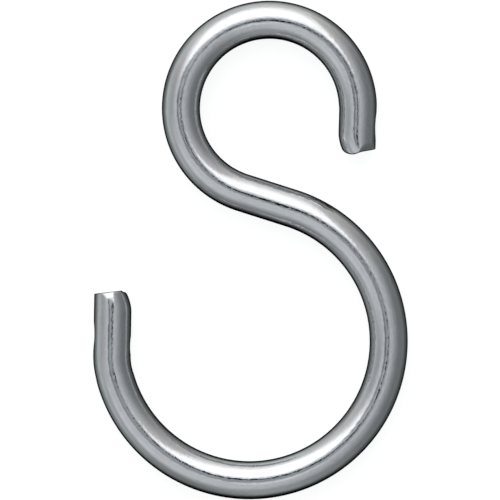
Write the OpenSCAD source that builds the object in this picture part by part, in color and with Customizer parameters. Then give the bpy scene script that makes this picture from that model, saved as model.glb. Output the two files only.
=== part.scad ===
// Asymmetric S hook, bent cold from one length of round bright wire.
// It lies flat on its side: the small loop points to +Y, the large loop to -Y.
// The origin is under the middle of the hook, on the surface that it lies on.

/* [Wire] */
// Diameter of the wire
wire_d = 4.87; // [4:0.01:5.5]
// How much thinner, on the radius, the bending tool squeezes both tails
tail_squeeze = 0.04; // [0.02:0.01:0.1]

/* [Shank] */
// Straight run between the two loops
shank_run = 6.6; // [2:0.1:16]
// Angle between the shank and a line square across the hook
shank_lean = 17.7; // [5:0.1:35]

/* [Small loop] */
// Radius inside the small loop
small_inside_r = 8.86; // [7.5:0.02:11]
// Angle that the small loop is bent through
small_sweep = 254; // [235:0.1:262]
// Straight tail from the small loop to the tip of its cut end
small_tail = 5.55; // [5:0.05:7]

/* [Large loop] */
// Radius inside the large loop
large_inside_r = 15.33; // [13:0.02:18]
// Angle that the large loop is bent through
large_sweep = 239.3; // [215:0.1:245]
// Radius inside the tighter bend that ends the large loop
exit_inside_r = 6.9; // [6:0.02:12]
// Angle of that tighter bend
exit_sweep = 14; // [6:0.1:20]
// Straight tail from the tighter bend to the tip of its cut end
large_tail = 8.05; // [7.5:0.05:11]

/* [Cut end of the small loop] */
// Radius of the rounded corner on the inner side of the tip
small_corner_r = 1.8; // [1:0.1:2.2]
// Height of that corner's centre above the inner side of the wire
small_corner_in = 1.8; // [1.2:0.05:2.2]
// Setback of the outer corner behind the tip
small_lip_back = 0.72; // [0.4:0.01:1]
// Slant of the lip that the shear leaves on the outer side
small_lip_slant = 11; // [4:0.2:16]
// Length over which the inner side of the wire turns outwards to the tip
small_turn_run = 3.1; // [2.4:0.1:3.8]
// Radius to the middle of the wire, of that turn
small_turn_r = 3.7; // [2.6:0.1:6]
// Where the nose starts to round over on top of the wire, behind the tip
small_nose_back = 1.1; // [0.8:0.05:1.8]
// Radius of that rounding, along the wire
small_nose_r = 4.7; // [3.4:0.1:6]
// How far that rounding is turned to the outer side
small_nose_turn = -14; // [-25:1:15]
// Where the cutter's facet starts on top of the wire, behind the tip
small_facet_back = 0.1; // [0:0.05:0.5]
// Slope of that facet
small_facet_slope = 49; // [40:1:58]
// How far that facet is turned to the outer side
small_facet_turn = 55; // [35:1:65]

/* [Cut end of the large loop] */
// Radius of the rounded corner on the inner side of the tip
large_corner_r = 1.5; // [0.8:0.1:2]
// Height of that corner's centre above the inner side of the wire
large_corner_in = 1.3; // [1:0.05:2]
// Setback of the outer corner behind the tip
large_lip_back = 0.33; // [0.2:0.01:0.8]
// Slant of the lip that the shear leaves on the outer side
large_lip_slant = 7.4; // [4:0.2:14]
// Length over which the inner side of the wire turns outwards to the tip
large_turn_run = 2.9; // [2:0.1:3.6]
// Radius to the middle of the wire, of that turn
large_turn_r = 3.3; // [2:0.1:6]
// Where the nose starts to round over on top of the wire, behind the tip
large_nose_back = 1.6; // [1:0.05:2.2]
// Radius of that rounding, along the wire
large_nose_r = 3.9; // [3:0.1:5.4]
// How far that rounding is turned to the outer side
large_nose_turn = 32; // [10:1:45]

/* [Shear and bending tool] */
// Depth of the marks that the bending tool leaves on the outer sides of the tails
mark_depth = 0.12; // [0.06:0.01:0.18]
// Radius of those marks
mark_r = 12; // [9:0.5:14]
// Depth of its mark on the inner side of the large loop's tail
inner_mark_depth = 0.1; // [0.06:0.01:0.12]
// Radius of that mark
inner_mark_r = 7; // [5:0.5:8]
// Distance from the tip of the small loop's end to its outer mark
small_mark_back = 3.7; // [3:0.1:4.2]
// Distance from the tip of the large loop's end to its outer mark
large_mark_back = 5.6; // [4.5:0.1:6]
// Distance from that mark to the one on the inner side
large_mark_pitch = 1.25; // [0.8:0.05:1.3]

/* [Hidden] */
wire_r = wire_d / 2;
tail_r = wire_r - tail_squeeze;
small_bend_r = small_inside_r + wire_r;
large_bend_r = large_inside_r + wire_r;
exit_bend_r = exit_inside_r + wire_r;
// A tail starts this share of the way to where it would come out of the bend that it continues
lap_share = 0.6;
// The cutting tools' round surfaces start this far outside the tail's wall, to meet it at an angle
round_proud = 0.03;
// Reach of a cutting tool past what it cuts
clear = 1;
wire_fn = 36;
bend_fn = 84;

function heading(a) = [cos(a), sin(a)];
function turned(p, a) = [p.x * cos(a) - p.y * sin(a), p.x * sin(a) + p.y * cos(a)];

// Angles on the three bends, as they lie in the hook, from the shank to the tail
small_from = 270 - shank_lean;
small_to = small_from - small_sweep;
large_from = 90 - shank_lean;
large_to = large_from - large_sweep;
exit_to = large_to - exit_sweep;

// Centres of the three bends, with the middle of the shank as the origin
small_centre = turned([-shank_run / 2, small_bend_r], -shank_lean);
large_centre = turned([shank_run / 2, -large_bend_r], -shank_lean);
exit_centre = large_centre + (large_bend_r - exit_bend_r) * heading(large_to);

// Points along the middle of the wire that can lie furthest out
STEPS = [0 : 1 / 60 : 1];
BENDS = concat(
    [for (t = STEPS) small_centre + small_bend_r * heading(small_from + t * (small_to - small_from))],
    [for (t = STEPS) large_centre + large_bend_r * heading(large_from + t * (large_to - large_from))]
);
small_tail_start = small_centre + small_bend_r * heading(small_to);
large_tail_start = exit_centre + exit_bend_r * heading(exit_to);
TAILS = concat(
    [for (t = STEPS) exit_centre + exit_bend_r * heading(large_to + t * (exit_to - large_to))],
    [small_tail_start, small_tail_start + small_tail * heading(small_to - 90)],
    [large_tail_start, large_tail_start + large_tail * heading(exit_to - 90)]
);
LEFT = min([for (p = BENDS) p.x - wire_r, for (p = TAILS) p.x - tail_r]);
RIGHT = max([for (p = BENDS) p.x + wire_r, for (p = TAILS) p.x + tail_r]);
BOTTOM = min([for (p = BENDS) p.y - wire_r]);
TOP = max([for (p = BENDS) p.y + wire_r]);

// Straight wire from the origin along +X
module run_of_wire(r, length) {
    rotate([0, 90, 0])
        cylinder(r = r, h = length, $fn = wire_fn);
}

// Bent wire about the origin, from one angle to another
module bend_of_wire(r, bend_r, from, to) {
    rotate_extrude(start = from, angle = to - from, $fn = bend_fn)
        translate([bend_r, 0])
            circle(r = r, $fn = wire_fn);
}

// Everything that follows a bend, which leaves the origin along +X and turns towards -Y
module after_bend(bend_r, sweep) {
    translate([0, -bend_r, 0])
        rotate([0, 0, -sweep])
            translate([0, bend_r, 0])
                children();
}

// Half the shank and one loop, from the middle of the shank along +X, turning towards -Y
module half_hook(bend_r, sweep) {
    run_of_wire(wire_r, shank_run / 2);
    translate([shank_run / 2, 0, 0]) {
        translate([0, -bend_r, 0])
            bend_of_wire(wire_r, bend_r, 90 - sweep, 90);
        after_bend(bend_r, sweep)
            children();
    }
}

// How far back a tail can start inside a bend without coming out of its side
function lap(bend_r) = lap_share * sqrt(2 * bend_r * tail_squeeze);

// What the shear takes off around the tip at the origin, square to the hook's plane
module shear_cut(corner_r, corner_in, lip_back, lip_slant) {
    corner = [-corner_r, corner_in - wire_r];
    linear_extrude(height = wire_d + 2 * clear, center = true)
        difference() {
            union() {
                translate([corner.x, corner.y - wire_d])
                    square([corner_r + clear, wire_d]);
                translate([-lip_back, wire_r])
                    rotate(lip_slant)
                        translate([0, -wire_d])
                            square([wire_r, 2 * wire_d]);
            }
            translate(corner)
                circle(r = corner_r, $fn = bend_fn);
        }
}

// What is outside a wire that turns to the outer side about an upright line, with the tip at the origin
module turn_over(turn_run, turn_r) {
    reach = tail_r + clear;
    translate([-turn_run, turn_r, 0])
        rotate_extrude(start = -90, angle = 90, $fn = bend_fn)
            difference() {
                translate([turn_r, -reach])
                    square([reach + turn_run, 2 * reach]);
                translate([turn_r, 0])
                    circle(r = tail_r + round_proud, $fn = wire_fn);
            }
}

// What is above a nose that rounds over from the top of the wire down, with the tip at the origin
module nose_over(nose_back, nose_r, turn) {
    top = tail_r + round_proud;
    translate([-nose_back, 0, 0])
        rotate([90, 0, turn])
            linear_extrude(height = 2 * wire_d, center = true)
                difference() {
                    translate([0, top - nose_r])
                        square([nose_r + clear, nose_r + clear]);
                    translate([0, top - nose_r])
                        circle(r = nose_r, $fn = 2 * bend_fn);
                }
}

// What the cutter takes off the top of the tip at the origin, as a flat facet
module facet_cut(back, slope, turn) {
    translate([-back, 0, tail_r])
        rotate([0, slope, turn])
            translate([-wire_d, -wire_d, 0])
                cube([2 * wire_d, 2 * wire_d, wire_d]);
}

// What the bending tool presses in on one side of a tail: 1 is the outer side, -1 the inner side
module tool_mark(side, depth, r) {
    translate([0, side * (tail_r - depth + r), 0])
        cylinder(r = r, h = wire_d + 2 * clear, center = true, $fn = 2 * bend_fn);
}

module small_end() {
    difference() {
        translate([-lap(small_bend_r), 0, 0])
            run_of_wire(tail_r, small_tail + lap(small_bend_r));
        translate([small_tail, 0, 0]) {
            shear_cut(small_corner_r, small_corner_in, small_lip_back, small_lip_slant);
            turn_over(small_turn_run, small_turn_r);
            nose_over(small_nose_back, small_nose_r, small_nose_turn);
            facet_cut(small_facet_back, small_facet_slope, small_facet_turn);
        }
        translate([small_tail - small_mark_back, 0, 0])
            tool_mark(1, mark_depth, mark_r);
    }
}

module large_end() {
    lap_angle = lap(exit_bend_r) / exit_bend_r * 180 / PI;
    translate([0, -exit_bend_r, 0])
        bend_of_wire(tail_r, exit_bend_r, 90, 90 + exit_sweep + lap_angle);
    difference() {
        run_of_wire(tail_r, large_tail);
        translate([large_tail, 0, 0]) {
            shear_cut(large_corner_r, large_corner_in, large_lip_back, large_lip_slant);
            turn_over(large_turn_run, large_turn_r);
            nose_over(large_nose_back, large_nose_r, large_nose_turn);
        }
        translate([large_tail - large_mark_back, 0, 0]) {
            tool_mark(1, mark_depth, mark_r);
            translate([-large_mark_pitch, 0, 0])
                tool_mark(-1, inner_mark_depth, inner_mark_r);
        }
    }
}

module s_hook() {
    color("silver")
        translate([-(LEFT + RIGHT) / 2, -(BOTTOM + TOP) / 2, wire_r])
            rotate([0, 0, -shank_lean]) {
                half_hook(large_bend_r, large_sweep)
                    after_bend(exit_bend_r, exit_sweep)
                        large_end();
                rotate([0, 0, 180])
                    half_hook(small_bend_r, small_sweep)
                        small_end();
            }
}

s_hook();
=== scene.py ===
"""Looks of an S hook that is bent cold from one length of round bright wire.

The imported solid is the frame. Sizes are in millimetres, as on the drawing, and become
metres where a mesh or a lamp is made. The hook lies flat, small loop towards +Y.
"""

import logging
import math
from abc import ABC, abstractmethod
from dataclasses import dataclass, field
from enum import Enum

import bpy
import numpy as np
from mathutils import Matrix, Vector


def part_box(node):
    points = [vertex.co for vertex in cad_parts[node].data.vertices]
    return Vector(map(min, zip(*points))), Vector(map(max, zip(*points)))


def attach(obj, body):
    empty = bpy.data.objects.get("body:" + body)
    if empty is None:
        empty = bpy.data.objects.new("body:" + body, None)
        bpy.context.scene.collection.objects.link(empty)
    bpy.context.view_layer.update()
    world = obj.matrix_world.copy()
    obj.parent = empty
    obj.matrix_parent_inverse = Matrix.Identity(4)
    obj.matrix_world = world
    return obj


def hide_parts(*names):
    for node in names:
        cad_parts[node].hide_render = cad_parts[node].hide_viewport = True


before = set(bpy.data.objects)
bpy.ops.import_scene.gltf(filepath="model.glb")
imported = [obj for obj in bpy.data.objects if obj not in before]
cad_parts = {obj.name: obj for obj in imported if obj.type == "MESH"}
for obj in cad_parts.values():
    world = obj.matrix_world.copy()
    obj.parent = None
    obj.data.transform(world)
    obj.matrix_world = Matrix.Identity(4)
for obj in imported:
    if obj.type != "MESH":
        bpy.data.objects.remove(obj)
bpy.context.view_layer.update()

LOG = logging.getLogger("s_hook")
MM = 0.001
DRAWN_DIGITS = 2
CAD_NODE = "s_hook"
CAD_BODY = "root"
GRAIN = "grain"
GIRTH = "girth"
ALONG = "along"
SHEARED = "sheared"
WHITE = (1.0, 1.0, 1.0, 1.0)
BLACK = (0.0, 0.0, 0.0, 1.0)
Socket = bpy.types.NodeSocket


class Turn(Enum):
    """The way a bend turns, as one walks along the wire."""

    LEFT = 1
    RIGHT = -1


class Side(Enum):
    """A side of a tail: away from its loop's centre, or towards it."""

    OUTER = 1
    INNER = -1


class End(Enum):
    """An end of the wire. Its value is -1 where the walk along the wire starts, and 1 where it ends."""

    SMALL = -1
    LARGE = 1


# Node trees


class Tree:
    """A node tree that is written as Python expressions."""

    def __init__(self, nodes: bpy.types.NodeTree) -> None:
        """Keeps the tree that the nodes go into."""
        self.nodes = nodes

    def node(self, kind: str, settings: dict | None = None, **inputs: object) -> bpy.types.Node:
        """Adds any node.

        Args:
            kind: The node's type, such as "ShaderNodeTexNoise".
            settings: The node's own properties, which are set first.
            inputs: A value, a Number or an output for each socket, by its name with "_" for a space,
                or by its place, such as at_1.

        Returns:
            The new node.
        """
        made = self.nodes.nodes.new(kind)
        for name, value in (settings or {}).items():
            setattr(made, name, value)
        for name, value in inputs.items():
            place = int(name[3:]) if name.startswith("at_") else name.replace("_", " ")
            self.feed(made.inputs[place], value)
        return made

    def feed(self, socket: Socket, value: object) -> None:
        """Links an output to a socket, or sets the socket's own value.

        Args:
            socket: The socket.
            value: A Number, an output or a plain value.
        """
        if isinstance(value, Number):
            value = value.socket
        if isinstance(value, Socket):
            self.nodes.links.new(value, socket)
        else:
            socket.default_value = value

    def number(self, socket: Socket) -> "Number":
        """Wraps an output, so that it can be used in an expression."""
        return Number(self, socket)

    def noise(self, vector: object, scale: float, detail: float = 2.0) -> "Number":
        """A noise texture's value, from 0 to 1."""
        made = self.node("ShaderNodeTexNoise", Vector=vector, Scale=scale, Detail=detail)
        return self.number(made.outputs["Fac"])

    def math(self, operation: str, *values: object) -> "Number":
        """Adds a Math node.

        Args:
            operation: The node's operation.
            values: What its sockets hold, in order.

        Returns:
            The result.
        """
        inputs = {f"at_{place}": value for place, value in enumerate(values)}
        return self.number(self.node("ShaderNodeMath", {"operation": operation}, **inputs).outputs[0])

    def blend(self, share: object, low: object, high: object) -> Socket:
        """A colour between two others, which a share from 0 to 1 picks."""
        inputs = {"at_0": share, "at_6": low, "at_7": high}
        return self.node("ShaderNodeMix", {"data_type": "RGBA"}, **inputs).outputs[2]

    def tinted(self, colour: tuple, strength: object) -> Socket:
        """A colour times a number."""
        settings = {"operation": "SCALE"}
        return self.node("ShaderNodeVectorMath", settings, at_0=colour, Scale=strength).outputs[0]


class Number:
    """A socket that carries one number. Python's operators on it add Math nodes."""

    def __init__(self, tree: Tree, socket: Socket) -> None:
        """Keeps the socket with its tree."""
        self.tree = tree
        self.socket = socket

    def math(self, operation: str, *others: object) -> "Number":
        """Adds a Math node whose first socket holds this number."""
        return self.tree.math(operation, self, *others)

    def __add__(self, other: object) -> "Number":
        """self + other."""
        return self.math("ADD", other)

    __radd__ = __add__

    def __sub__(self, other: object) -> "Number":
        """self - other."""
        return self.math("SUBTRACT", other)

    def __rsub__(self, other: object) -> "Number":
        """other - self."""
        return self.tree.math("SUBTRACT", other, self)

    def __mul__(self, other: object) -> "Number":
        """self * other."""
        return self.math("MULTIPLY", other)

    __rmul__ = __mul__

    def __truediv__(self, other: object) -> "Number":
        """self / other."""
        return self.math("DIVIDE", other)

    def __rtruediv__(self, other: object) -> "Number":
        """other / self."""
        return self.tree.math("DIVIDE", other, self)

    def larger(self, other: object) -> "Number":
        """The larger of the two."""
        return self.math("MAXIMUM", other)

    def rise(self, low: float, high: float) -> "Number":
        """Goes smoothly from 0 to 1.

        Args:
            low: Where it is 0.
            high: Where it is 1, which may be the smaller of the two.

        Returns:
            The share.
        """
        settings = {"interpolation_type": "SMOOTHSTEP"}
        made = self.tree.node("ShaderNodeMapRange", settings, Value=self, From_Min=low, From_Max=high)
        return self.tree.number(made.outputs[0])


# The line along the middle of the wire


@dataclass(frozen=True)
class Stretch:
    """One length of the wire, straight or bent to one radius.

    Attributes:
        length: Length along the middle of the wire.
        radius: Radius of the wire itself.
        bend_r: Radius to the middle of the wire, or 0 where it is straight.
        turn: The way that the bend turns.
    """

    length: float
    radius: float
    bend_r: float = 0.0
    turn: Turn = Turn.LEFT

    @property
    def curl(self) -> float:
        """Change of heading for each millimetre, in radians."""
        return self.turn.value / self.bend_r if self.bend_r else 0.0


@dataclass(frozen=True)
class Station:
    """A place on the middle of the wire.

    Attributes:
        x: Where it lies along X.
        y: Where it lies along Y.
        heading: The way that the wire leads on there, in radians from +X towards +Y.
        along: Its distance from the start of the wire.
    """

    x: float
    y: float
    heading: float
    along: float

    def ahead(self, distance: float, curl: float) -> "Station":
        """Walks on, along wire of one curl.

        Args:
            distance: How far to walk, which is below 0 on the way back.
            curl: Change of heading for each millimetre, in radians.

        Returns:
            The station there.
        """
        turned = self.heading + curl * distance
        if curl:
            step_x = (math.sin(turned) - math.sin(self.heading)) / curl
            step_y = (math.cos(self.heading) - math.cos(turned)) / curl
        else:
            step_x = distance * math.cos(self.heading)
            step_y = distance * math.sin(self.heading)
        return Station(self.x + step_x, self.y + step_y, turned, self.along + distance)


@dataclass(frozen=True)
class WireLine:
    """The middle of the wire, from the tip of the small loop to the tip of the large one.

    Attributes:
        wire_d: Diameter of the wire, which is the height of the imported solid.
        tail_squeeze: How much thinner, on the radius, the tails are.
        shank_run: Length of the straight shank between the loops.
        shank_lean: How far the shank leans from +X towards -Y, in degrees.
        small_inside_r: Inside radius of the small loop.
        small_sweep: Angle of the small loop's bend, in degrees.
        small_tail: Length of the small loop's straight tail.
        large_inside_r: Inside radius of the large loop.
        large_sweep: Angle of the large loop's bend, in degrees.
        exit_inside_r: Inside radius of the short bend from the large loop to its tail.
        exit_sweep: Angle of that bend, in degrees.
        large_tail: Length of the large loop's straight tail.
        step: Longest distance between two stations.
    """

    wire_d: float
    tail_squeeze: float = 0.04
    shank_run: float = 6.6
    shank_lean: float = 17.7
    small_inside_r: float = 8.86
    small_sweep: float = 254.0
    small_tail: float = 5.55
    large_inside_r: float = 15.33
    large_sweep: float = 239.3
    exit_inside_r: float = 6.9
    exit_sweep: float = 14.0
    large_tail: float = 8.05
    step: float = 0.4

    @property
    def wire_r(self) -> float:
        """Radius of the wire."""
        return self.wire_d / 2

    @property
    def tail_r(self) -> float:
        """Radius of the tails."""
        return self.wire_r - self.tail_squeeze

    def bend(self, radius: float, inside_r: float, sweep: float, turn: Turn) -> Stretch:
        """A bend of the wire, from its inside radius and its angle in degrees."""
        bend_r = inside_r + self.wire_r
        return Stretch(bend_r * math.radians(sweep), radius, bend_r, turn)

    def stretches(self) -> list[Stretch]:
        """Lists the lengths that the wire is made of.

        Returns:
            The stretches from tip to tip.
        """
        return [
            Stretch(self.small_tail, self.tail_r),
            self.bend(self.wire_r, self.small_inside_r, self.small_sweep, Turn.LEFT),
            Stretch(self.shank_run, self.wire_r),
            self.bend(self.wire_r, self.large_inside_r, self.large_sweep, Turn.RIGHT),
            self.bend(self.tail_r, self.exit_inside_r, self.exit_sweep, Turn.RIGHT),
            Stretch(self.large_tail, self.tail_r),
        ]

    def stations(self, centre: Vector) -> list[Station]:
        """Walks along the wire.

        Args:
            centre: Where the middle of the hook's outline lies.

        Returns:
            The stations from tip to tip. Each stretch starts and ends on one.
        """
        heading = math.radians(-self.shank_lean - self.small_sweep)
        walked = [Station(0.0, 0.0, heading, 0.0)]
        radii = [self.tail_r]
        for stretch in self.stretches():
            start = walked[-1]
            count = math.ceil(stretch.length / self.step)
            walked += [start.ahead(stretch.length * n / count, stretch.curl) for n in range(1, count + 1)]
            radii += [stretch.radius] * count
        middle = np.array([(station.x, station.y) for station in walked])
        reach = np.array(radii)[:, None]
        low, high = (middle - reach).min(axis=0), (middle + reach).max(axis=0)
        shift_x, shift_y = (centre.x, centre.y) - (low + high) / 2
        return [Station(s.x + shift_x, s.y + shift_y, s.heading, s.along) for s in walked]


# The two cut ends


def smooth_max(values: np.ndarray, reach: float | np.ndarray) -> np.ndarray:
    """The largest of the values along the first axis, rounded over where two of them meet.

    Args:
        values: One row for each field.
        reach: How far, in millimetres, the rounding reaches.

    Returns:
        One value for each column.
    """
    top = values.max(axis=0)
    return top + reach * np.log(np.exp((values - top) / reach).sum(axis=0))


@dataclass(frozen=True)
class ToolMark:
    """What the bending tool pressed in on one side of a tail.

    Attributes:
        back: Distance from the tip.
        side: The side of the tail.
        depth: Its depth.
        radius: Its radius along the wire.
    """

    back: float
    side: Side
    depth: float = 0.12
    radius: float = 12.0


@dataclass(frozen=True)
class Cut(ABC):
    """What shapes an end on top, from a start on top of the wire to the tip.

    Attributes:
        back: Where it starts, behind the tip.
        turn: How far it is turned to the outer side, in degrees.
    """

    back: float
    turn: float

    @abstractmethod
    def above(self, ahead: np.ndarray, height: np.ndarray) -> np.ndarray:
        """How far points lie above it, from how far they are ahead of its start and how high over it."""

    def outside(self, x: np.ndarray, y: np.ndarray, z: np.ndarray, top: float) -> np.ndarray:
        """Measures points of an end from it.

        Args:
            x: Places along the wire, 0 at the tip.
            y: Places across the wire, towards the outer side.
            z: Heights above the middle of the wire.
            top: The height at which it starts.

        Returns:
            How far each point lies above it.
        """
        turned = math.radians(self.turn)
        ahead = (x + self.back) * math.cos(turned) + y * math.sin(turned)
        return self.above(ahead, z - top)


@dataclass(frozen=True)
class Facet(Cut):
    """A flat face that the cutter left.

    Attributes:
        slope: Its slope in degrees.
    """

    slope: float

    def above(self, ahead: np.ndarray, height: np.ndarray) -> np.ndarray:
        """How far points lie above the sloping face."""
        slope = math.radians(self.slope)
        return math.sin(slope) * ahead + math.cos(slope) * height


@dataclass(frozen=True)
class Nose(Cut):
    """A rounding down to the tip.

    Attributes:
        radius: Its radius along the wire.
    """

    radius: float

    def above(self, ahead: np.ndarray, height: np.ndarray) -> np.ndarray:
        """How far points lie above the rounding."""
        rounded = np.hypot(ahead, np.maximum(height + self.radius, 0.0)) - self.radius
        return np.where(ahead > 0, rounded, height)


@dataclass(frozen=True)
class CutEnd:
    """A tail with its sheared end. Its own +X runs along the wire to the tip, and +Y to the outer side.

    Attributes:
        end: Which end of the wire this is.
        tail: Straight wire from the last bend to the tip.
        corner_r: Radius of the rounded corner on the inner side of the tip.
        corner_in: Height of that corner's centre above the inner side of the wire.
        lip_back: Setback of the outer corner behind the tip.
        lip_slant: Slant of the lip that the shear leaves on the outer side.
        turn_run: Length over which the inner side of the wire turns outwards to the tip.
        turn_r: Radius to the middle of the wire, of that turn.
        nose: Where the wire rounds over on top, to the tip.
        facets: Where the cutter touched the wire.
        marks: What the bending tool pressed in.
        wire_r: Radius of the wire.
        tail_r: Radius of the tail.
        round_proud: How far outside the tail's wall the round surfaces start.
        turn_fade: Slope at which the turn's surface leaves the wall, before the turn.
        mark_blend: How far the rounding of the tool marks' borders reaches.
        edge_wear: How far the rounding of the edges reaches at the tip.
        least_wear: The share of it that is left where the turn starts.
        core_back: Distance from the tip to the point that the last rings are seen from.
        ring_step: Distance between two rings, along the straight tail.
        tip_rings: Rings between the straight tail and the tip.
        halvings: How often the search for the skin halves its step.
    """

    end: End
    tail: float
    corner_r: float
    corner_in: float
    lip_back: float
    lip_slant: float
    turn_run: float
    turn_r: float
    nose: Nose
    facets: tuple[Facet, ...]
    marks: tuple[ToolMark, ...]
    wire_r: float
    tail_r: float
    round_proud: float = 0.03
    turn_fade: float = 0.2
    mark_blend: float = 0.02
    edge_wear: float = 0.06
    least_wear: float = 0.02
    core_back: float = 2.3
    ring_step: float = 0.12
    tip_rings: int = 75
    halvings: int = 40

    def walls(self, x: np.ndarray, y: np.ndarray, z: np.ndarray) -> np.ndarray:
        """How far each point lies outside each of the surfaces that bound the end.

        Args:
            x: Places along the wire, 0 at the tip.
            y: Places across the wire, towards the outer side.
            z: Heights above the middle of the wire.

        Returns:
            One row for each surface: the shear's face, the facets, and then those that the die drew or bent.
        """
        slant = math.radians(self.lip_slant)
        corner_y = self.corner_in - self.wire_r
        lip = (x + self.lip_back) * math.cos(slant) + (y - self.wire_r) * math.sin(slant)
        below_corner = np.minimum(x + self.corner_r, corner_y - y)
        corner = np.hypot(x + self.corner_r, y - corner_y) - self.corner_r
        shear = -smooth_max(np.stack([-np.maximum(lip, below_corner), -corner]), self.edge_wear)
        wall = np.hypot(y, z) - self.tail_r
        past = x + self.turn_run
        from_turn = np.where(past > 0, np.hypot(past, y - self.turn_r) - self.turn_r, -y)
        turned = np.hypot(np.maximum(from_turn, 0.0), z) - self.tail_r - self.round_proud
        turned += self.turn_fade * np.minimum(past, 0.0)
        nose = self.nose.outside(x, y, z, self.tail_r + self.round_proud)
        facets = [facet.outside(x, y, z, self.tail_r) for facet in self.facets]
        pressed = [wall]
        for mark in self.marks:
            mark_y = y - mark.side.value * (self.tail_r - mark.depth + mark.radius)
            pressed.append(mark.radius - np.hypot(x + mark.back, mark_y))
        wall = smooth_max(np.stack(pressed), self.mark_blend)
        return np.stack([shear, *facets, wall, turned, nose])

    def wear(self, x: np.ndarray) -> np.ndarray:
        """How far the rounding of the edges reaches, which grows from where the turn starts to the tip."""
        return self.edge_wear * np.clip((x + self.turn_run) / self.turn_run, self.least_wear, 1.0)

    def reach(self, start: np.ndarray, aim: np.ndarray) -> np.ndarray:
        """Finds where rays that start inside the end come out of it.

        Args:
            start: Where the rays start, one row each.
            aim: Which way they go, one row each, of length 1.

        Returns:
            The places where they come out.
        """
        near = np.zeros(len(start))
        far = np.full(len(start), 2.0 * self.wire_r)
        for _ in range(self.halvings):
            middle = (near + far) / 2
            place = start + aim * middle[:, None]
            inside = smooth_max(self.walls(*place.T), self.wear(place[:, 0])) < 0
            near = np.where(inside, middle, near)
            far = np.where(inside, far, middle)
        return start + aim * near[:, None]

    def rings(self, overlap: float, sides: int) -> np.ndarray:
        """The rings of points from the rim, where the swept wire takes over, to just before the tip.

        Args:
            overlap: How much of the tail the swept wire covers.
            sides: Points on a ring.

        Returns:
            An array of rings, points and coordinates.
        """
        angle = 2 * np.pi * np.arange(sides) / sides
        across = np.stack([np.zeros(sides), np.cos(angle), np.sin(angle)], axis=1)
        ahead = np.array([1.0, 0.0, 0.0])
        rim_x = overlap - self.tail
        count = round((-self.core_back - rim_x) / self.ring_step)
        starts = [(x, 0.0) for x in np.linspace(rim_x, -self.core_back, count, endpoint=False)]
        tilts = np.radians(np.linspace(0.0, 90.0, self.tip_rings, endpoint=False))
        starts += [(-self.core_back, tilt) for tilt in tilts]
        made = []
        for x, tilt in starts:
            aim = math.cos(tilt) * across + math.sin(tilt) * ahead
            made.append(self.reach(np.tile(x * ahead, (sides, 1)), aim))
        made[0] = rim_x * ahead + self.tail_r * across
        return np.array(made)

    def mesh(self, tip: Station, overlap: float, sides: int) -> bpy.types.Mesh:
        """Makes the end's skin, in its place in the hook.

        Args:
            tip: The station at the tip, with the heading that leads along the wire.
            overlap: How much of the tail the swept wire covers.
            sides: Points round the wire.

        Returns:
            An open mesh whose rim is the last ring of the swept wire.
        """
        rings = self.rings(overlap, sides)
        pole = self.reach(np.array([[-self.core_back, 0.0, 0.0]]), np.array([[1.0, 0.0, 0.0]]))
        points = np.concatenate([rings.reshape(-1, 3), pole])
        last = len(points) - 1
        faces = []
        for low in range(0, last - sides, sides):
            for k in range(sides):
                after = (k + 1) % sides
                faces.append((low + k, low + after, low + sides + after, low + sides + k))
        low = last - sides
        faces += [(low + k, low + (k + 1) % sides, last) for k in range(sides)]
        return self.placed(points, faces, tip)

    def placed(self, points: np.ndarray, faces: list[tuple], tip: Station) -> bpy.types.Mesh:
        """Turns points of the end's own frame into a mesh in the hook's frame.

        Args:
            points: The points, one row each.
            faces: The places in points of each face's corners.
            tip: The station at the tip.

        Returns:
            The mesh, with the attributes that its finish reads.
        """
        heading = tip.heading if self.end is End.LARGE else tip.heading + math.pi
        x, y, z = points.T
        places = np.stack(
            [
                tip.x + x * math.cos(heading) - y * math.sin(heading),
                tip.y + x * math.sin(heading) + y * math.cos(heading),
                z + self.wire_r,
            ],
            axis=1,
        )
        walls = self.walls(x, y, z)
        weights = np.exp((walls - walls.max(axis=0)) / self.wear(x))
        sheared = weights[: 1 + len(self.facets)].sum(axis=0) / weights.sum(axis=0)
        along = tip.along + x * self.end.value
        # The same numbers as on the swept wire, so that the two agree where they are welded.
        grain = np.stack([-self.end.value * y / self.tail_r, -z / self.tail_r, along], axis=1)
        made = bpy.data.meshes.new(f"{self.end.name.lower()}_end")
        made.from_pydata((places * MM).tolist(), [], faces)
        write_attribute(made, GRAIN, "FLOAT_VECTOR", grain)
        write_attribute(made, SHEARED, "FLOAT", sheared)
        return made


def write_attribute(mesh: bpy.types.Mesh, name: str, kind: str, values: np.ndarray) -> None:
    """Stores one value for each vertex.

    Args:
        mesh: The mesh.
        name: The attribute's name.
        kind: Its data type.
        values: One row for each vertex.
    """
    layer = mesh.attributes.new(name, kind, "POINT")
    layer.data.foreach_set("value" if kind == "FLOAT" else "vector", values.astype(np.float32).ravel())


# Finishes


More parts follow.
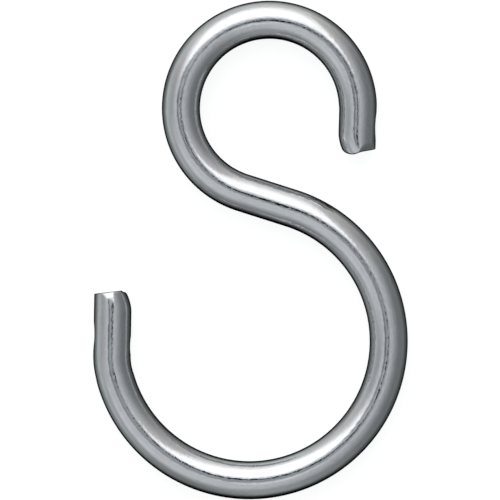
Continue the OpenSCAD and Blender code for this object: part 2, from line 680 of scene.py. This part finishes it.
@dataclass(frozen=True)
class BrightWire:
    """Drawn wire, plated bright: satin, with fine lines along the wire and matter, greyer sheared faces.

    Attributes:
        steel: Colour of the plated wire.
        worn: Colour in the drawn lines and the cloudy patches.
        cut: Colour of the sheared faces.
        roughness: Of the plated wire.
        cut_roughness: Of the sheared faces.
        line_pitch: Distance between two drawn lines, round the wire.
        line_length: Length of a drawn line.
        wave_pitch: Distance between two waves of the skin, round the wire.
        wave_length: Length of such a wave, along the wire.
        line_depth: Depth of the drawn lines.
        wave_depth: Height of the waves.
        cloud_size: Size of the cloudy patches.
        cloud_detail: How many finer patterns the cloudy patches hold.
        line_wear: Values of the lines' pattern at which the wear starts and is whole.
        cloud_wear: The same of the patches' pattern.
        wear_share: How much each of the two patterns counts.
        line_roughness: What the lines' pattern adds to the roughness.
        cloud_roughness: What the patches' pattern adds to it.
    """

    steel: tuple = (0.62, 0.62, 0.64, 1.0)
    worn: tuple = (0.54, 0.54, 0.55, 1.0)
    cut: tuple = (0.45, 0.46, 0.47, 1.0)
    roughness: float = 0.02
    cut_roughness: float = 0.30
    line_pitch: float = 0.24
    line_length: float = 0.7
    wave_pitch: float = 1.6
    wave_length: float = 5.0
    line_depth: float = 0.012
    wave_depth: float = 0.006
    cloud_size: float = 3.0
    cloud_detail: float = 4.0
    line_wear: tuple[float, float] = (0.35, 0.75)
    cloud_wear: tuple[float, float] = (0.45, 0.75)
    wear_share: float = 0.5
    line_roughness: float = 0.03
    cloud_roughness: float = 0.04

    def stretched(self, tree: Tree, wire_r: float, pitch: float, length: float) -> Number:
        """Adds a noise pattern that is drawn out along the wire.

        Args:
            tree: The material's tree.
            wire_r: Radius of the wire.
            pitch: Size of a cell round the wire.
            length: Size of a cell along the wire.

        Returns:
            The pattern.
        """
        grain = tree.node("ShaderNodeAttribute", {"attribute_name": GRAIN}).outputs["Vector"]
        scales = (wire_r / pitch, wire_r / pitch, 1.0 / length)
        cells = tree.node("ShaderNodeVectorMath", {"operation": "MULTIPLY"}, at_0=grain, at_1=scales)
        return tree.noise(cells.outputs[0], 1.0)

    def material(self, wire_r: float) -> bpy.types.Material:
        """Makes the material.

        Args:
            wire_r: Radius of the wire.

        Returns:
            The material, which reads the mesh's own attributes.
        """
        made = bpy.data.materials.new("bright_wire_finish")
        tree = emptied(made)
        lines = self.stretched(tree, wire_r, self.line_pitch, self.line_length)
        waves = self.stretched(tree, wire_r, self.wave_pitch, self.wave_length)
        place = tree.node("ShaderNodeTexCoord").outputs["Object"]
        clouds = tree.noise(place, 1.0 / (self.cloud_size * MM), self.cloud_detail)
        sheared = tree.number(tree.node("ShaderNodeAttribute", {"attribute_name": SHEARED}).outputs["Fac"])
        wear = (lines.rise(*self.line_wear) + clouds.rise(*self.cloud_wear)) * self.wear_share
        plated = tree.blend(wear, self.steel, self.worn)
        colour = tree.blend(sheared, plated, self.cut)
        drawn_roughness = self.roughness + lines * self.line_roughness + clouds * self.cloud_roughness
        roughness = drawn_roughness * (1.0 - sheared) + sheared * self.cut_roughness
        height = lines * self.line_depth + waves * self.wave_depth
        bump = tree.node("ShaderNodeBump", Strength=1.0, Distance=MM, Height=height)
        shader = tree.node(
            "ShaderNodeBsdfPrincipled",
            Base_Color=colour,
            Metallic=1.0,
            Roughness=roughness,
            Normal=bump.outputs["Normal"],
        )
        tree.node("ShaderNodeOutputMaterial", Surface=shader.outputs[0])
        return made


# The hook


@dataclass
class WireHook:
    """The hook itself: the swept wire with its two cut ends, welded to one closed skin.

    Attributes:
        line: The middle of the wire.
        small: The cut end of the small loop.
        large: The cut end of the large loop.
        finish: The finish of the whole wire.
        sides: Points round the swept wire.
        overlap: How much of each tail the swept wire covers.
        ease: Length over which the wire thins to its tails.
        weld: Points closer together than this become one.
        drift: How far rounding errors may move a station that ends a stretch.
    """

    line: WireLine
    small: CutEnd
    large: CutEnd
    finish: BrightWire = field(default_factory=BrightWire)
    sides: int = 144
    overlap: float = 0.05
    ease: float = 1.2
    weld: float = 0.0005
    drift: float = 1e-6

    def girth(self, along: float) -> float:
        """Thins the wire to its tails.

        Args:
            along: Distance from the start of the wire.

        Returns:
            The radius there, as a share of the full radius.
        """
        stretches = self.line.stretches()
        total = sum(stretch.length for stretch in stretches)
        loop_start = stretches[0].length
        loop_end = total - stretches[-1].length - stretches[-2].length
        inside = min(along - loop_start, loop_end - along)
        share = min(max(inside / self.ease, 0.0), 1.0)
        eased = share * share * (3 - 2 * share)
        return (self.line.tail_r + self.line.tail_squeeze * eased) / self.line.wire_r

    def swept_stations(self, walked: list[Station]) -> list[Station]:
        """Leaves the tails to the cut ends, apart from the overlap.

        Args:
            walked: The stations from tip to tip.

        Returns:
            The stations that the swept wire goes through.
        """
        first = walked[0].ahead(self.line.small_tail - self.overlap, 0.0)
        last = walked[-1].ahead(self.overlap - self.line.large_tail, 0.0)
        low = self.line.small_tail - self.drift
        high = walked[-1].along - self.line.large_tail + self.drift
        return [first, *(station for station in walked if low < station.along < high), last]

    def line_object(self, walked: list[Station]) -> bpy.types.Object:
        """Makes the middle of the wire, with the girth and the distance at each point.

        Args:
            walked: The stations from tip to tip.

        Returns:
            A chain of edges.
        """
        swept = self.swept_stations(walked)
        points = [Vector((s.x, s.y, self.line.wire_r)) * MM for s in swept]
        mesh = bpy.data.meshes.new("wire_line")
        mesh.from_pydata(points, [(n, n + 1) for n in range(len(points) - 1)], [])
        write_attribute(mesh, GIRTH, "FLOAT", np.array([self.girth(s.along) for s in swept]))
        write_attribute(mesh, ALONG, "FLOAT", np.array([s.along for s in swept]))
        return shown(bpy.data.objects.new("wire_line", mesh))

    def sweep_tree(self) -> bpy.types.NodeTree:
        """Builds the Geometry Nodes that sweep the wire along its line, weld the ends to it and dress it.

        Returns:
            The tree, whose sizes are its inputs.
        """
        group = bpy.data.node_groups.new("swept_wire", "GeometryNodeTree")
        sockets = [
            ("Wire line", "NodeSocketGeometry"),
            ("Wire radius", "NodeSocketFloat"),
            ("Sides", "NodeSocketInt"),
            ("Small end", "NodeSocketObject"),
            ("Large end", "NodeSocketObject"),
            ("Weld distance", "NodeSocketFloat"),
            ("Finish", "NodeSocketMaterial"),
        ]
        for name, kind in sockets:
            group.interface.new_socket(name, in_out="INPUT", socket_type=kind)
        group.interface.new_socket("Hook", in_out="OUTPUT", socket_type="NodeSocketGeometry")
        tree = Tree(group)
        given = tree.node("NodeGroupInput").outputs
        girth = named(tree, GIRTH, "FLOAT")
        chain = tree.node("GeometryNodeMeshToCurve", Mesh=given["Wire line"]).outputs[0]
        upright = tree.node("GeometryNodeSetCurveNormal", {"mode": "Z_UP"}, Curve=chain).outputs[0]
        circle = tree.node(
            "GeometryNodeCurvePrimitiveCircle", Resolution=given["Sides"], Radius=given["Wire radius"]
        ).outputs[0]
        place = tree.node("GeometryNodeInputPosition").outputs[0]
        unit_place = tree.node(
            "ShaderNodeVectorMath", {"operation": "DIVIDE"}, at_0=place, at_1=given["Wire radius"]
        ).outputs[0]
        marked = with_grain(tree, circle, unit_place)
        tube = tree.node(
            "GeometryNodeCurveToMesh", Curve=upright, at_1=marked, Scale=girth, Fill_Caps=False
        ).outputs[0]
        round_wire = tree.node("ShaderNodeSeparateXYZ", Vector=named(tree, GRAIN, "FLOAT_VECTOR")).outputs
        grain = tree.node(
            "ShaderNodeCombineXYZ", X=round_wire["X"], Y=round_wire["Y"], Z=named(tree, ALONG, "FLOAT")
        ).outputs[0]
        grained = with_grain(tree, tube, grain)
        joined = tree.node("GeometryNodeJoinGeometry")
        for end in (given["Large end"], given["Small end"]):
            piece = tree.node("GeometryNodeObjectInfo", {"transform_space": "RELATIVE"}, Object=end)
            tree.feed(joined.inputs[0], piece.outputs["Geometry"])
        tree.feed(joined.inputs[0], grained)
        welded = tree.node(
            "GeometryNodeMergeByDistance", Geometry=joined.outputs[0], Distance=given["Weld distance"]
        ).outputs[0]
        smooth = tree.node("GeometryNodeSetShadeSmooth", Geometry=welded).outputs[0]
        real = tree.node("GeometryNodeRealizeInstances", Geometry=smooth).outputs[0]
        dressed = tree.node("GeometryNodeSetMaterial", Geometry=real, Material=given["Finish"]).outputs[0]
        tree.node("NodeGroupOutput", Hook=dressed)
        return group

    def build(self, centre: Vector) -> bpy.types.Object:
        """Makes the hook and dresses it.

        Args:
            centre: Where the middle of the hook's outline lies, in millimetres.

        Returns:
            The finished piece.
        """
        walked = self.line.stations(centre)
        ends = {
            "Small end": self.small.mesh(walked[0], self.overlap, self.sides),
            "Large end": self.large.mesh(walked[-1], self.overlap, self.sides),
        }
        chain = self.line_object(walked)
        pieces = {name: shown(bpy.data.objects.new(mesh.name, mesh)) for name, mesh in ends.items()}
        material = self.finish.material(self.line.wire_r)
        values = {
            "Wire radius": self.line.wire_r * MM,
            "Sides": self.sides,
            "Weld distance": self.weld * MM,
            "Finish": material,
            **pieces,
        }
        mesh = grown(chain, self.sweep_tree(), values)
        for helper in (chain, *pieces.values()):
            bpy.data.objects.remove(helper)
        mesh.name = "hook_wire"
        hook = shown(bpy.data.objects.new("hook_wire", mesh))
        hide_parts(CAD_NODE)
        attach(hook, CAD_BODY)
        return hook


def named(tree: Tree, name: str, kind: str) -> Socket:
    """Reads a mesh's own attribute of one data type, in Geometry Nodes."""
    return tree.node("GeometryNodeInputNamedAttribute", {"data_type": kind}, Name=name).outputs[0]


def with_grain(tree: Tree, geometry: Socket, grain: Socket) -> Socket:
    """Stores the grain on the points of a geometry, in Geometry Nodes."""
    inputs = {"Geometry": geometry, "Name": GRAIN, "Value": grain}
    return tree.node("GeometryNodeStoreNamedAttribute", {"data_type": "FLOAT_VECTOR"}, **inputs).outputs[0]


def shown(obj: bpy.types.Object) -> bpy.types.Object:
    """Links a new object to the scene."""
    bpy.context.scene.collection.objects.link(obj)
    return obj


def grown(obj: bpy.types.Object, group: bpy.types.NodeTree, values: dict) -> bpy.types.Mesh:
    """Runs Geometry Nodes on an object.

    Args:
        obj: The object that the tree starts from.
        group: The tree.
        values: What its inputs hold, by their names.

    Returns:
        The result as a plain mesh.
    """
    modifier = obj.modifiers.new(group.name, "NODES")
    modifier.node_group = group
    for item in group.interface.items_tree:
        if item.in_out == "INPUT" and item.name in values:
            modifier[item.identifier] = values[item.name]
    depsgraph = bpy.context.evaluated_depsgraph_get()
    mesh = bpy.data.meshes.new_from_object(obj.evaluated_get(depsgraph), depsgraph=depsgraph)
    obj.modifiers.remove(modifier)
    return mesh


# The studio

ROOM_TINT = (0.962, 1.012, 1.032)
# A patch ends before it is seen edge on: LEAST_DEPTH is a cosine, and WIDEST is in degrees.
LEAST_DEPTH = 0.02
WIDEST = 85.0


def compass(azimuth: float, elevation: float) -> tuple[Vector, Vector, Vector]:
    """Points to a place in the room.

    Args:
        azimuth: Where it lies, in degrees from +X towards +Y.
        elevation: Where it lies, in degrees above the floor.

    Returns:
        The directions of the place itself, of its width and of its height.
    """
    turned = Matrix.Rotation(math.radians(azimuth), 3, "Z")
    turned = turned @ Matrix.Rotation(math.radians(-elevation), 3, "Y")
    return turned.col[0], turned.col[1], turned.col[2]


def shade(light: float, tint: tuple[float, float, float] = ROOM_TINT) -> tuple[float, float, float, float]:
    """A tint, as light as is said, where 1 is white."""
    return (*(light * part for part in tint), 1.0)


@dataclass(frozen=True)
class Patch:
    """A part of the room that is lighter or darker than the rest, with soft borders.

    Attributes:
        name: What it is.
        azimuth: Where its middle lies, in degrees from +X towards +Y.
        elevation: Where its middle lies, in degrees above the floor.
        half_width: Half its width, in degrees.
        half_height: Half its height, in degrees.
        border: Half the width of its soft border, in degrees.
        light: How light it is, where 1 is white.
        tint: Its colour.
    """

    name: str
    azimuth: float
    elevation: float
    half_width: float
    half_height: float
    border: float
    light: float
    tint: tuple[float, float, float] = ROOM_TINT

    def axes(self) -> tuple[Vector, Vector, Vector]:
        """The directions of its middle, its width and its height."""
        return compass(self.azimuth, self.elevation)

    def colour(self) -> tuple[float, float, float, float]:
        """Its colour, as light as it is."""
        return shade(self.light, self.tint)

    def mask(self, tree: Tree, direction: Socket) -> Number:
        """How much of a direction it covers.

        Args:
            tree: The room's tree.
            direction: The direction that is looked in.

        Returns:
            The share, which is 1 within the patch and 0 outside it.
        """
        middle, *sides = self.axes()
        depth = dot(tree, direction, middle).larger(LEAST_DEPTH)
        shares = []
        for side, half in zip(sides, (self.half_width, self.half_height)):
            away = (dot(tree, direction, side) / depth).math("ABSOLUTE")
            outer = math.tan(math.radians(min(half + self.border, WIDEST)))
            inner = math.tan(math.radians(max(half - self.border, 0.0)))
            shares.append(away.rise(outer, inner))
        return shares[0] * shares[1]


def dot(tree: Tree, direction: Socket, axis: Vector) -> Number:
    """How far a direction leans along an axis."""
    made = tree.node("ShaderNodeVectorMath", {"operation": "DOT_PRODUCT"}, at_0=direction, at_1=axis)
    return tree.number(made.outputs["Value"])


@dataclass(frozen=True)
class Spot(Patch):
    """A round patch, whose half width is its radius."""

    def mask(self, tree: Tree, direction: Socket) -> Number:
        """How much of a direction it covers.

        Args:
            tree: The room's tree.
            direction: The direction that is looked in.

        Returns:
            The share, as a Patch gives it.
        """
        outer = math.radians(self.half_width + self.border)
        inner = math.radians(max(self.half_width - self.border, 0.0))
        return dot(tree, direction, self.axes()[0]).rise(math.cos(outer), math.cos(inner))


WALLS = (
    Patch("ceiling", 15.0, 82.0, 52.0, 46.0, 14.0, 0.75),
    Patch("back_wall", 93.0, 5.0, 25.0, 42.0, 44.0, 0.87, (1.03, 1.0, 0.97)),
    Patch("left_wall", 166.0, -22.0, 18.0, 0.0, 50.0, 0.70),
)
FITTINGS = (
    Patch("low_front", 248.0, -8.0, 13.0, 18.0, 22.0, 0.23),
    Patch("fill_lamp", 218.0, 37.0, 15.0, 2.0, 21.0, 0.84),
    Patch("key_spill", 104.0, 42.0, 16.5, 17.0, 24.0, 1.78),
    Spot("ceiling_lamp", 279.0, 69.5, 0.0, 0.0, 9.0, 0.90),
    Spot("camera_arm", 159.0, 80.7, 9.4, 9.4, 11.7, 0.17, (0.94, 1.01, 1.05)),
    Spot("camera_back", 105.0, 83.0, 9.8, 9.8, 11.0, 0.63, (0.94, 1.01, 1.05)),
    Patch("camera_grip", 180.0, 68.7, 4.5, 1.6, 1.6, 0.17),
    Spot("camera_front", 258.0, 84.0, 7.5, 7.5, 3.0, 0.44, (0.93, 1.01, 1.06)),
    Spot("camera_clamp", 172.0, 86.4, 1.9, 1.9, 0.6, 0.08),
    Spot("camera_knob", 50.0, 86.6, 2.0, 2.0, 0.8, 0.20),
)


@dataclass
class Studio:
    """The pale floor, the soft light and the camera.

    Attributes:
        lens: Focal length of the camera.
        sensor_width: Width of its sensor.
        frame_width: Width of what the camera sees at the middle of the wire.
        camera_x: Where the camera hangs along X. Along Y, it hangs at 0.
        floor_half: Half the side of the floor and of the mirror.
        floor_drop: Gap between the wire and the floor.
        paper: How much light the floor scatters.
        paper_lift: What is added to the floor, so that it shows white beside the hook's shadow.
        room_light: How light the room is where nothing else is said.
        dark_side: How light the room is where it is darkest.
        dark_side_azimuth: Where it is darkest.
        dark_side_fade: Cosine, from its middle, at which the dark would be whole.
        key_distance: Distance from the hook to the softbox.
        key_azimuth: Where the softbox hangs, as a Patch gives it.
        key_elevation: The same.
        key_span: Its left, right, lower and upper edges, as shares of its distance.
        key_border: How far it fades in from each of these edges, as such shares.
        key_radiance: How light its middle is.
        hood_height: Height of the camera's hood.
        hood_half: Half its length and half its width.
        hood_turn: How far its length is turned from +X, in degrees.
        hood_middle: Where its middle hangs along X and Y.
        mirror_drop: Gap between the wire and the mirror.
        mirror_ribs: Half the angle between the two faces of the mirror's ribs, in degrees.
        mirror_power: How fast the mirror's gloss grows as a ray grazes it.
        mirror_gain: How strong that gloss is.
        mirror_onset: How grazing a ray is where the gloss comes in, and where it is whole.
        mirror_lean: Lean towards +Y, in degrees, of the rays to which the mirror is dark: a painted shadow
            of the hook on the floor on its -Y side, seen in the metal's rims.
        mirror_fade: How grazing, to a sheet that faces them, a ray is where that dark ends.
        mirror_tint: Colour of its gloss.
        mirror_roughness: Of its gloss.
        mirror_pale: How light it is to a ray that has been reflected more than once.
        reflected_twice: The glossy depth above which that is so.
    """

    lens: float = 400.0
    sensor_width: float = 36.0
    frame_width: float = 63.8
    camera_x: float = -0.06
    floor_half: float = 1500.0
    floor_drop: float = 0.02
    paper: float = 0.25
    paper_lift: float = 0.86
    room_light: float = 0.50
    dark_side: float = 0.23
    dark_side_azimuth: float = -11.0
    dark_side_fade: float = 1.05
    key_distance: float = 1200.0
    key_azimuth: float = 79.0
    key_elevation: float = 42.5
    key_span: tuple[float, float, float, float] = (-1.118, 0.332, -1.288, 0.878)
    key_border: tuple[float, float, float, float] = (0.752, 0.112, 4.36, 0.30)
    key_radiance: float = 2.0
    hood_height: float = 270.0
    hood_half: tuple[float, float] = (18.0, 9.5)
    hood_turn: float = 62.0
    hood_middle: tuple[float, float] = (0.0, 1.0)
    mirror_drop: float = 0.01
    mirror_ribs: float = 8.0
    mirror_power: float = 1.6
    mirror_gain: float = 1.3
    mirror_onset: tuple[float, float] = (0.05, 0.35)
    mirror_lean: float = 35.0
    mirror_fade: float = 0.30
    mirror_tint: tuple[float, float, float] = (0.96, 1.01, 0.98)
    mirror_roughness: float = 0.02
    mirror_pale: float = 0.7
    reflected_twice: float = 1.5

    def room(self) -> None:
        """Lights the room with its walls, its ceiling and what hangs from it."""
        world = bpy.data.worlds.new("studio_room")
        bpy.context.scene.world = world
        tree = emptied(world)
        direction = tree.node("ShaderNodeTexCoord").outputs["Generated"]
        light = shade(self.room_light)
        for patch in WALLS:
            light = tree.blend(patch.mask(tree, direction), light, patch.colour())
        dark = dot(tree, direction, compass(self.dark_side_azimuth, 0.0)[0]).rise(0.0, self.dark_side_fade)
        light = tree.blend(dark, light, shade(self.dark_side))
        for patch in FITTINGS:
            light = tree.blend(patch.mask(tree, direction), light, patch.colour())
        light = tree.blend(tree.node("ShaderNodeLightPath").outputs["Is Camera Ray"], light, WHITE)
        lit = tree.node("ShaderNodeBackground", Color=light, Strength=1.0)
        tree.node("ShaderNodeOutputWorld", Surface=lit.outputs[0])

    def key(self) -> bpy.types.Object:
        """Hangs the large softbox that gives the broad white band. It fades towards its edges.

        Returns:
            The lamp.
        """
        left, right, low, high = self.key_span
        wide, tall = right - left, high - low
        data = bpy.data.lights.new("key_softbox", "AREA")
        data.shape = "RECTANGLE"
        data.size = wide * self.key_distance * MM
        data.size_y = tall * self.key_distance * MM
        data.energy = self.key_radiance * math.pi * data.size * data.size_y
        tree = emptied(data)
        place = tree.node("ShaderNodeNewGeometry").outputs["Parametric"]
        across = tree.node("ShaderNodeSeparateXYZ", Vector=place).outputs
        u, v = tree.number(across["X"]), tree.number(across["Y"])
        at_left, at_right, at_low, at_high = self.key_border
        fade = u.rise(1.0, 1.0 - at_left / wide) * u.rise(0.0, at_right / wide)
        fade = fade * v.rise(0.0, at_low / tall) * v.rise(1.0, 1.0 - at_high / tall)
        glow = tree.node("ShaderNodeEmission", Color=WHITE, Strength=fade)
        tree.node("ShaderNodeOutputLight", Surface=glow.outputs[0])
        lamp = shown(bpy.data.objects.new("key_softbox", data))
        middle, west, up = compass(self.key_azimuth, self.key_elevation)
        place = middle - west * (left + right) / 2 + up * (low + high) / 2
        turned = Matrix((west, up, middle)).transposed().to_4x4()
        lamp.matrix_world = Matrix.Translation(place * self.key_distance * MM) @ turned
        lamp.visible_camera = False
        return lamp

    def floor(self) -> bpy.types.Object:
        """Lays the pale floor, which shows white, apart from the hook's shadow.

        Returns:
            The floor.
        """
        made, tree = staged_material("pale_floor")
        paper = tree.node("ShaderNodeBsdfDiffuse", Color=(self.paper, self.paper, self.paper, 1.0))
        rays = tree.node("ShaderNodeLightPath").outputs
        seen = tree.number(rays["Is Camera Ray"]).larger(tree.number(rays["Is Glossy Ray"]))
        seen = seen.larger(tree.number(rays["Is Transmission Ray"]))
        lift = tree.node("ShaderNodeEmission", Color=WHITE, Strength=seen * self.paper_lift)
        both = tree.node("ShaderNodeAddShader", at_0=paper.outputs[0], at_1=lift.outputs[0])
        tree.node("ShaderNodeOutputMaterial", Surface=both.outputs[0])
        half = (self.floor_half, self.floor_half)
        return level_sheet("floor", half, Vector((0.0, 0.0, -self.floor_drop)), 0.0, made)

    def facing(self, tree: Tree, lean: float) -> Number:
        """Measures how much a ray grazes a sheet that leans about X.

        Args:
            tree: The sheet's tree.
            lean: Its lean in degrees.

        Returns:
            A number from 0, face on, to 1, where the ray only grazes it.
        """
        side, up = math.sin(math.radians(lean)), math.cos(math.radians(lean))
        normal = tree.node("ShaderNodeCombineXYZ", X=0.0, Y=side, Z=up).outputs[0]
        return tree.number(tree.node("ShaderNodeLayerWeight", Normal=normal).outputs["Facing"])

    def smoked_mirror(self) -> bpy.types.Object:
        """Lays a dark mirror round the hook, seen in the metal alone, which gives the wire its dark rims:
        its dark, to rays that come down steeply onto the floor beside the wire, is painted shade of that
        floor, which the camera sees white.

        Returns:
            The mirror.
        """
        made, tree = staged_material("smoked_mirror")
        ribs = [self.facing(tree, lean) for lean in (-self.mirror_ribs, self.mirror_ribs)]
        # Painted shade: the gloss fades as rays steepen, so the floor close beside the wire shows dark in
        # the rims.
        grazing = ribs[0].math("MINIMUM", ribs[1])
        strength = (grazing.math("POWER", self.mirror_power) * self.mirror_gain).math("MINIMUM", 1.0)
        strength = strength * grazing.rise(*self.mirror_onset)
        # Painted shadow of the hook: the mirror goes dark to rays that run down towards -Y, the side of the
        # floor that the hook shades from the softbox.
        strength = strength * self.facing(tree, self.mirror_lean).rise(0.0, self.mirror_fade)
        colour = tree.tinted(self.mirror_tint, strength)
        gloss = tree.node("ShaderNodeBsdfGlossy", Color=colour, Roughness=self.mirror_roughness)
        depth = tree.number(tree.node("ShaderNodeLightPath").outputs["Glossy Depth"])
        again = depth.math("GREATER_THAN", self.reflected_twice)
        pale = tree.node("ShaderNodeEmission", Color=WHITE, Strength=self.mirror_pale)
        both = tree.node("ShaderNodeMixShader", at_0=again, at_1=gloss.outputs[0], at_2=pale.outputs[0])
        tree.node("ShaderNodeOutputMaterial", Surface=both.outputs[0])
        half = (self.floor_half, self.floor_half)
        middle = Vector((0.0, 0.0, -self.mirror_drop))
        return reflected_only(level_sheet("smoked_mirror", half, middle, 0.0, made))

    def hood(self) -> bpy.types.Object:
        """Hangs the camera's black hood, seen in the metal alone, which draws a dark line along the wire.

        Returns:
            The hood.
        """
        made, tree = staged_material("black_hood")
        black = tree.node("ShaderNodeBsdfDiffuse", Color=BLACK)
        tree.node("ShaderNodeOutputMaterial", Surface=black.outputs[0])
        middle = Vector((*self.hood_middle, self.hood_height))
        return reflected_only(level_sheet("camera_hood", self.hood_half, middle, self.hood_turn, made))

    def camera(self, level: float) -> bpy.types.Object:
        """Hangs the camera straight above the hook.

        Args:
            level: Height of the middle of the wire.

        Returns:
            The camera.
        """
        data = bpy.data.cameras.new("camera")
        data.sensor_width = self.sensor_width
        data.lens = self.lens
        camera = shown(bpy.data.objects.new("camera", data))
        distance = self.frame_width * self.lens / self.sensor_width
        camera.location = Vector((self.camera_x, 0.0, level + distance)) * MM
        bpy.context.scene.camera = camera
        return camera


def emptied(owner: bpy.types.Material | bpy.types.Light | bpy.types.World) -> Tree:
    """Clears what a new material, lamp or world is made with.

    Args:
        owner: The material, lamp or world.

    Returns:
        Its empty tree.
    """
    owner.use_nodes = True
    owner.node_tree.nodes.clear()
    return Tree(owner.node_tree)


def staged_material(name: str) -> tuple[bpy.types.Material, Tree]:
    """A new material of the studio, with its empty tree."""
    made = bpy.data.materials.new(name)
    return made, emptied(made)


def level_sheet(
    name: str, half: tuple[float, float], middle: Vector, turn: float, material: bpy.types.Material
) -> bpy.types.Object:
    """Makes a level sheet of the studio, which isn't part of the hook.

    Args:
        name: The sheet's name.
        half: Half its length and half its width.
        middle: Where its middle lies.
        turn: How far its length is turned from +X, in degrees.
        material: Its material.

    Returns:
        The sheet.
    """
    along = Matrix.Rotation(math.radians(turn), 3, "Z").col[0] * half[0]
    across = Matrix.Rotation(math.radians(turn), 3, "Z").col[1] * half[1]
    corners = [middle + a * along + b * across for a, b in ((-1, -1), (1, -1), (1, 1), (-1, 1))]
    mesh = bpy.data.meshes.new(name)
    mesh.from_pydata([corner * MM for corner in corners], [], [(0, 1, 2, 3)])
    mesh.materials.append(material)
    sheet = shown(bpy.data.objects.new(name, mesh))
    return sheet


def reflected_only(sheet: bpy.types.Object) -> bpy.types.Object:
    """Leaves a sheet visible in glossy reflections alone.

    Args:
        sheet: The sheet.

    Returns:
        The same sheet.
    """
    sheet.visible_camera = False
    sheet.visible_diffuse = False
    sheet.visible_shadow = False
    sheet.visible_transmission = False
    return sheet


def main() -> None:
    """Builds the hook, then the studio round it."""
    logging.basicConfig(level=logging.INFO, format="%(message)s")
    scene = bpy.context.scene
    scene.view_settings.view_transform = "Standard"
    low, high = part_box(CAD_NODE)
    middle = (low + high) / 2 / MM
    line = WireLine(wire_d=round((high.z - low.z) / MM, DRAWN_DIGITS))
    radii = {"wire_r": line.wire_r, "tail_r": line.tail_r}
    small = CutEnd(
        end=End.SMALL, tail=line.small_tail,
        corner_r=1.8, corner_in=1.8, lip_back=0.72, lip_slant=11.0, turn_run=3.1, turn_r=3.7,
        nose=Nose(back=1.1, radius=4.7, turn=-14.0), facets=(Facet(back=0.1, slope=49.0, turn=55.0),),
        marks=(ToolMark(3.7, Side.OUTER),), **radii,
    )
    large = CutEnd(
        end=End.LARGE, tail=line.large_tail,
        corner_r=1.5, corner_in=1.3, lip_back=0.33, lip_slant=7.4, turn_run=2.9, turn_r=3.3,
        nose=Nose(back=1.6, radius=3.9, turn=32.0), facets=(),
        marks=(ToolMark(5.6, Side.OUTER), ToolMark(6.85, Side.INNER, depth=0.1, radius=7.0)), **radii,
    )
    hook = WireHook(line, small, large).build(middle)
    LOG.info("%s: %d vertices, %d faces", hook.name, len(hook.data.vertices), len(hook.data.polygons))
    studio = Studio()
    studio.room()
    studio.key()
    studio.floor()
    studio.smoked_mirror()
    studio.hood()
    studio.camera(line.wire_r)


if __name__ == "__main__":
    main()
